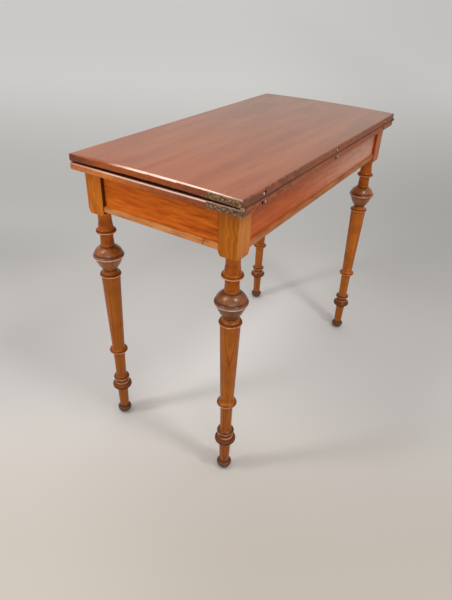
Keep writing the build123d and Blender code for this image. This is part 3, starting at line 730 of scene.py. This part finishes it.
# %% [markdown]
# ## Hinge screws
# Each strap is held by three countersunk screws with slotted heads. A slot could be cut from a
# cylinder with a Boolean, which leaves ragged faces on so small a thing. Here the screw is one
# surface instead: a grid of columns across the disc, which drops where the slot is, and its
# boundary carried down the countersink and the shank to the point. The solid screws stay in the
# model and are hidden here.

# %% Grids and bands
def grid_faces(grid):
    """The four-cornered faces between neighbouring rows and columns of a grid of point numbers."""
    corners = [grid[:-1, :-1], grid[1:, :-1], grid[1:, 1:], grid[:-1, 1:]]
    return np.stack(corners, -1).reshape(-1, 4)


def grid_rim(grid):
    """The point numbers along the boundary of a grid, once round."""
    return np.concatenate([grid[:, 0], grid[-1, 1:], grid[-2::-1, -1], grid[0, -2:0:-1]])


def band_faces(upper, lower):
    """The faces between two closed loops of point numbers: each pair and the pair that follows."""
    return np.stack([upper, lower, np.roll(lower, -1), np.roll(upper, -1)], axis=1)


small_grid = np.arange(12).reshape(3, 4)
print("3 by 4 points make", len(grid_faces(small_grid)), "faces, with", len(grid_rim(small_grid)),
      "of the points on the rim")

# %% Screw surface
head_radius, shank_radius = 0.0032, 0.0016
head_height, head_lip, screw_length = 0.0018, 0.0003, 0.020
slot_half, slot_depth, slot_wall, head_dome = 0.00042, 0.0009, 0.00006, 0.00022
point_length, point_share = 0.003, 0.05
last_column, side_columns, head_rows = 0.985, 8, 13


def screw_shell():
    """Points and faces of one screw, head up at zero height. Column s of the head has its places
    at x = R s and y = sqrt(R^2 - x^2) t. Its height is the dome's, which falls with the square of
    the distance from the middle, less the slot's depth where x is within the slot. The rows below
    it repeat the head's boundary, narrowed and lowered to the shank and then to the point."""
    slot = slot_half / head_radius
    side = np.linspace(slot + slot_wall / head_radius, last_column, side_columns)
    columns = np.concatenate([-side[::-1], [-slot, 0, slot], side])
    rows = np.linspace(-1, 1, head_rows)
    x = head_radius * np.repeat(columns, len(rows))
    y = np.sqrt(head_radius ** 2 - x ** 2) * np.tile(rows, len(columns))
    dome = head_dome * (1 - (x ** 2 + y ** 2) / head_radius ** 2)
    z = dome - slot_depth * (np.abs(x) < slot_half + slot_wall / 2)
    head = np.stack([x, y, z], axis=1)
    grid = np.arange(len(x)).reshape(len(columns), len(rows))
    rim = grid_rim(grid)
    narrow = shank_radius / head_radius
    levels = [(1.0, -head_lip), (narrow, -head_height), (narrow, point_length - screw_length),
              (point_share, -screw_length)]
    flat = head[rim] * (1, 1, 0)
    walls = [flat * (share, share, 1) + (0, 0, level) for share, level in levels]
    loops = [rim] + [len(head) + len(rim) * k + np.arange(len(rim)) for k in range(len(levels))]
    bands = [band_faces(upper, lower) for upper, lower in zip(loops, loops[1:])]
    end_face = [loops[-1][::-1].tolist()]
    faces = np.concatenate([grid_faces(grid), *bands]).tolist() + end_face
    return np.concatenate([head, *walls]), faces


shell_points, shell_faces = screw_shell()
print("one screw:", len(shell_points), "points,", len(shell_faces), "faces")


# %% A new piece in the scene
def new_piece(name, points, faces, finish, body, smooth_angle=35):
    """A mesh object at the origin, shaded smooth up to an angle, riding on a body."""
    mesh = bpy.data.meshes.new(name)
    mesh.from_pydata(np.asarray(points).tolist(), [], faces)
    mesh.materials.append(finish)
    mesh.polygons.foreach_set("use_smooth", [True] * len(mesh.polygons))
    mesh.set_sharp_from_angle(angle=float(np.radians(smooth_angle)))
    mesh.update()
    piece = bpy.data.objects.new(name, mesh)
    bpy.context.scene.collection.objects.link(piece)
    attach(piece, body)
    print(name, "has", len(faces), "faces")
    return piece


# %% Place the screws
fold_axis = np.array([0.0, hinge_edge, (lower_face + upper_face) / 2])
strap_corner = box_of("hinge_strap_lower_right")[1]
strap_face, strap_length = strap_corner[0], strap_corner[1] - hinge_edge
screw_shares = np.array([0.2, 0.52, 0.87])
per_strap = len(screw_shares)

# A strap's middle line is half a leaf and half the gap away from the fold axis, and the upper one
# rises with the slope that the cup has at the strap's middle
strap_middle = (leaf_thickness + upper_face - lower_face) / 2
upper_lift = np.arctan(2 * leaf_crown / leaf_half * (1 - strap_length / (2 * leaf_half)))


def screw_places(away, lift):
    """Middles of a leaf's screw heads on the right end: shares of the strap's length from the
    hinge edge, at a distance above the fold axis, and turned about it by the lift."""
    along = screw_shares * strap_length
    y = along * np.cos(lift) - away * np.sin(lift)
    z = along * np.sin(lift) + away * np.cos(lift)
    return fold_axis + np.stack([np.full(per_strap, strap_face), y, z], axis=1)


def hinge_screws(level, away, lift, slot_angles):
    """The six screws of one leaf, each with its slot at its own angle. A screw's own z points out
    of the leaf's end, along +X at the right and -X at the left."""
    points, faces = [], []
    places = screw_places(away, lift)
    for number, angle in enumerate(slot_angles):
        end = 1 if number < per_strap else -1
        c, s = np.cos(np.radians(angle)), np.sin(np.radians(angle))
        axes = np.array([[0, c, s], [0, -s * end, c * end], [end, 0, 0]])
        faces += [[corner + len(shell_points) * number for corner in face] for face in shell_faces]
        points.append(shell_points @ axes + places[number % per_strap] * (end, 1, 1))
    piece = new_piece(f"slotted_screws_{level}", np.concatenate(points), faces, screw_brass,
                      f"{level}_top")
    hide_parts(f"hinge_screws_{level}")


screw_brass = metal_finish("screw_worn", (88, 66, 46), (186, 160, 118), 0.003, 0.42, 0.6, 0.34)
hinge_screws("lower", -strap_middle, 0.0, (20, 75, 110, 35, 140, 85))
hinge_screws("upper", strap_middle, upper_lift, (150, 60, 5, 95, 25, 130))
dress(screw_brass, "pivot_plate_screws", "hinge_rivet")

# %% [markdown]
# ## The cloth
# Both playing surfaces are green baize, a felted wool cloth, glued into a shallow recess. A cloth
# simulation would suit a loose cover, but a sheet glued flat doesn't hang or fold, so it needs
# none: it is a thin closed slab on a grid, whose upper side waves by hundredths of a millimetre as
# glued felt does, and whose rim is pressed down. The nap is in the finish: short fuzz in the bump,
# and sheen for its pale edge-on look.

# %% Baize finish
nap_pace = (1500, 1500, 1500)


def baize_finish(name):
    """Green wool: a nap of fine noise from dark to pale, felted flecks, and paler worn patches."""
    finish = Finish(name)
    nap = finish.noise(finish.stretch(finish.place, nap_pace), detail=4, roughness=0.7)
    felt = finish.clouds((0.004, 0.004, 0.004), 0.3, 0.7)
    worn = finish.clouds((0.16, 0.12, 0.1), 0.4, 0.75)
    finish.colour = finish.ramp(nap, (0.25, 0.75), [(28, 66, 38), (58, 104, 64)])
    finish.lay(finish.times(felt, 0.25), (36, 78, 46))
    finish.lay(finish.times(worn, 0.3), (90, 120, 76))
    finish.relief = finish.bump(nap, 0.0003)
    return finish.close(Roughness=0.95, Sheen_Weight=0.35, Sheen_Roughness=0.5)


baize = baize_finish("baize_green")
print("the cloth's finish is", baize.name)

# %% Cloth slabs
cloth_low, cloth_high = box_of("lower_baize")
cloth_x, cloth_y = cloth_high[0], (cloth_low[1], cloth_high[1])
cloth_thickness = cloth_high[2] - cloth_low[2]
cloth_sunk = lower_face - cloth_high[2]
wave_height, press_depth, press_width = 0.00002, 0.0003, 0.0015
cloth_columns, cloth_rows = 191, 96


def cloth_slab(base_height, crown, face):
    """Points and faces of a slab of cloth. Both sides follow the base height plus the crown times
    1 - ((y - middle) / half width)^2. The side that is seen, upper for face 1 and lower for face
    -1, also waves by three crossing sines and sinks at the rim, by the press depth times e to the
    power of minus the distance from the rim over the press width."""
    across = np.linspace(-1, 1, cloth_columns)
    deep = np.linspace(0, 1, cloth_rows)
    u, v = (plane.ravel() for plane in np.meshgrid(across, deep, indexing="ij"))
    x = cloth_x * u
    y = cloth_y[0] + (cloth_y[1] - cloth_y[0]) * v
    level = base_height + crown * (1 - ((y - leaf_middle) / leaf_half) ** 2)
    to_rim = np.minimum(cloth_x - np.abs(x), np.minimum(y - cloth_y[0], cloth_y[1] - y))
    wave = wave_height * (np.sin(41 * x + 17 * y) + np.sin(23 * x - 59 * y) + np.sin(97 * y))
    press = press_depth * np.exp(-to_rim / press_width)
    seen, hidden = (cloth_thickness, 0.0) if face > 0 else (0.0, cloth_thickness)
    shown = np.stack([x, y, level + seen + face * (wave - press)], axis=1)
    glued = np.stack([x, y, level + hidden], axis=1)
    top, bottom = (shown, glued) if face > 0 else (glued, shown)
    grid = np.arange(len(x)).reshape(len(across), len(deep))
    top_faces, rim = grid_faces(grid), grid_rim(grid)
    bottom_faces = top_faces[:, ::-1] + len(x)
    faces = np.concatenate([top_faces, bottom_faces, band_faces(rim, rim + len(x))])
    return np.concatenate([top, bottom]), faces.tolist()


def lay_cloth(level, base_height, crown, face):
    """One leaf's cloth, in the place of its solid one."""
    points, faces = cloth_slab(base_height, crown, face)
    cloth = new_piece(f"baize_sheet_{level}", points, faces, baize, f"{level}_top")
    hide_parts(f"{level}_baize")


lay_cloth("lower", cloth_low[2], 0.0, 1)
lay_cloth("upper", upper_face + cloth_sunk, leaf_crown, -1)

# %% [markdown]
# ## The stage
# The table was set on pale paper that curves up behind it, so a soft darker band lies about 2.5 m
# ahead of the camera, and the paper is lighter beyond it. A wall would hide the table in views from
# behind, so here the floor alone carries both, as painted shade and painted light in a colour that
# follows the way ahead of the camera's place. It doesn't follow the camera itself, so the floor
# stays as it is when another camera looks at the table. Painted light makes the paper paler from
# 0.6 m ahead on, and painted shade darkens it towards both sides of that view.

# %% Floor
floor_half = 60.0
floor_mesh = bpy.data.meshes.new("floor")
floor_corners = [(-floor_half, -floor_half, 0), (floor_half, -floor_half, 0),
                 (floor_half, floor_half, 0), (-floor_half, floor_half, 0)]
floor_mesh.from_pydata(floor_corners, [], [(0, 1, 2, 3)])
floor = bpy.data.objects.new("floor", floor_mesh)
bpy.context.scene.collection.objects.link(floor)
print("floor is", 2 * floor_half, "m wide")

# %% Floor paper
least_depth, shade_share = 0.4, 0.34

# Where each colour begins and where it is full, in metres ahead of the camera's place, and the
# last in doublings of a metre
painted_light_paper, rear_paper, painted_shade_band, painted_light_beyond = (0.6, 1.3), (0.45, -1.0), (1.4, 2.3), (1.35, 2.8)
level_share = float(np.linalg.norm(camera_ahead[:2]))
level_ahead = camera_ahead[:2] / level_share
eye_drop = -float(camera_ahead[2] * camera_place[2])


def floor_distance(finish, direction):
    """Distance of each point from the camera's place along a level direction: x and y times the
    direction's parts, less the same sum for the camera."""
    start = -float(direction @ camera_place[:2])
    distance = finish.reckon("MULTIPLY_ADD", finish.x, float(direction[0]), start)
    return finish.reckon("MULTIPLY_ADD", finish.y, float(direction[1]), distance)


def paper_finish(name):
    """Pale paper: warm and darker near the camera's place, a little paler to its left by painted
    light, paler further on by painted light, a band of painted shade, and paper made lighter beyond
    it by painted light, with painted shade at both sides. Slant is how far a point is aside, over
    its depth in the camera's view, which is the way ahead times the level share of the view plus
    what the eye's drop adds."""
    finish = Finish(name)
    ahead = floor_distance(finish, level_ahead)
    aside = floor_distance(finish, np.array([level_ahead[1], -level_ahead[0]]))
    depth = finish.reckon("MULTIPLY_ADD", ahead, level_share, eye_drop)
    depth = finish.most(depth, least_depth)
    slant = finish.reckon("DIVIDE", aside, depth)
    # Painted light: the paper near the camera's place is a little paler to the left
    nearest = finish.blend(finish.rise(slant, 0.1, -0.4), tint(184, 176, 167), tint(196, 188, 179))
    # Painted light: paler paper from 0.6 m ahead on
    finish.colour = finish.blend(finish.rise(ahead, *painted_light_paper), nearest, tint(214, 211, 208))
    finish.lay(finish.rise(ahead, *rear_paper), (222, 220, 217))
    # Painted shade: the grey band
    finish.lay(finish.rise(ahead, *painted_shade_band), (186, 184, 181))
    doublings = finish.reckon("LOGARITHM", ahead, 2.0)
    # Painted light: lighter paper beyond the band
    finish.lay(finish.rise(doublings, *painted_light_beyond), (234, 233, 231))
    # Painted shade towards both sides
    right = finish.times(finish.rise(slant, -0.02, 0.45), finish.rise(ahead, 2.0, 4.0, 1.0, 0.65))
    left = finish.times(finish.rise(slant, -0.10, -0.45), finish.rise(ahead, 2.4, 1.9),
                        finish.rise(ahead, 0.8, 1.2))
    shade = finish.times(finish.most(left, right), finish.rise(ahead, 0.5, 1.4),
                         finish.rise(finish.size(aside), 3.0, 1.4, 0.5, 1.0))
    finish.lay(finish.times(shade, shade_share), (120, 118, 114))
    return finish.close(Roughness=0.85, Specular_IOR_Level=0.2)


floor_mesh.materials.append(paper_finish("floor_paper"))
print("the floor right under the camera is", round(eye_drop, 2), "m deep in its view")

# %% [markdown]
# ## Light
# Two small ceiling lamps give the highlights on the knops and the leaves' edges, and a large soft
# one stands for the room. The rest is a pale world, stronger above than below, because a single
# bright lamp would throw a hard shadow that the photograph doesn't have.

# %% Lamps
def soft_lamp(name, place, aim_height, size, power):
    """A soft oblong lamp at a place, aimed at a height over the table's middle."""
    lamp = bpy.data.lights.new(name, "AREA")
    lamp.shape = "RECTANGLE"
    lamp.size, lamp.size_y = size
    lamp.energy = power
    holder = bpy.data.objects.new(name, lamp)
    holder.location = place
    back = Vector(place) - Vector((0, 0, aim_height))
    holder.rotation_euler = back.to_track_quat("Z", "Y").to_euler()
    holder.visible_camera = False
    bpy.context.scene.collection.objects.link(holder)


soft_lamp("lamp_left", (-1.5, 1.05, 2.8), 0.5, (0.3, 1.2), 24)
soft_lamp("lamp_front", (-0.4, -1.45, 2.8), 0.5, (0.35, 0.6), 22)
soft_lamp("room_light", (-4.6, -3.6, 2.6), 0.4, (3.6, 2.4), 72)
print("lamps:", [light.name for light in bpy.data.lights])

# %% World
world_below, world_above = 0.66, 0.95
world = bpy.data.worlds.new("studio")
bpy.context.scene.world = world
world.use_nodes = True
sky_nodes, sky_links = world.node_tree.nodes, world.node_tree.links
backdrop = sky_nodes["Background"]
sky_place = sky_nodes.new("ShaderNodeTexCoord").outputs["Generated"]
sky_parts = sky_nodes.new("ShaderNodeSeparateXYZ")
sky_level = sky_nodes.new("ShaderNodeMapRange")
sky_links.new(sky_place, sky_parts.inputs[0])
sky_links.new(sky_parts.outputs["Z"], sky_level.inputs["Value"])
sky_links.new(sky_level.outputs[0], backdrop.inputs["Strength"])
sky_level.inputs["To Min"].default_value = world_below
sky_level.inputs["To Max"].default_value = world_above
backdrop.inputs["Color"].default_value = tint(236, 235, 234)
bpy.context.scene.view_settings.view_transform = "Standard"
print("world strength from", world_below, "at the horizon to", world_above, "overhead")
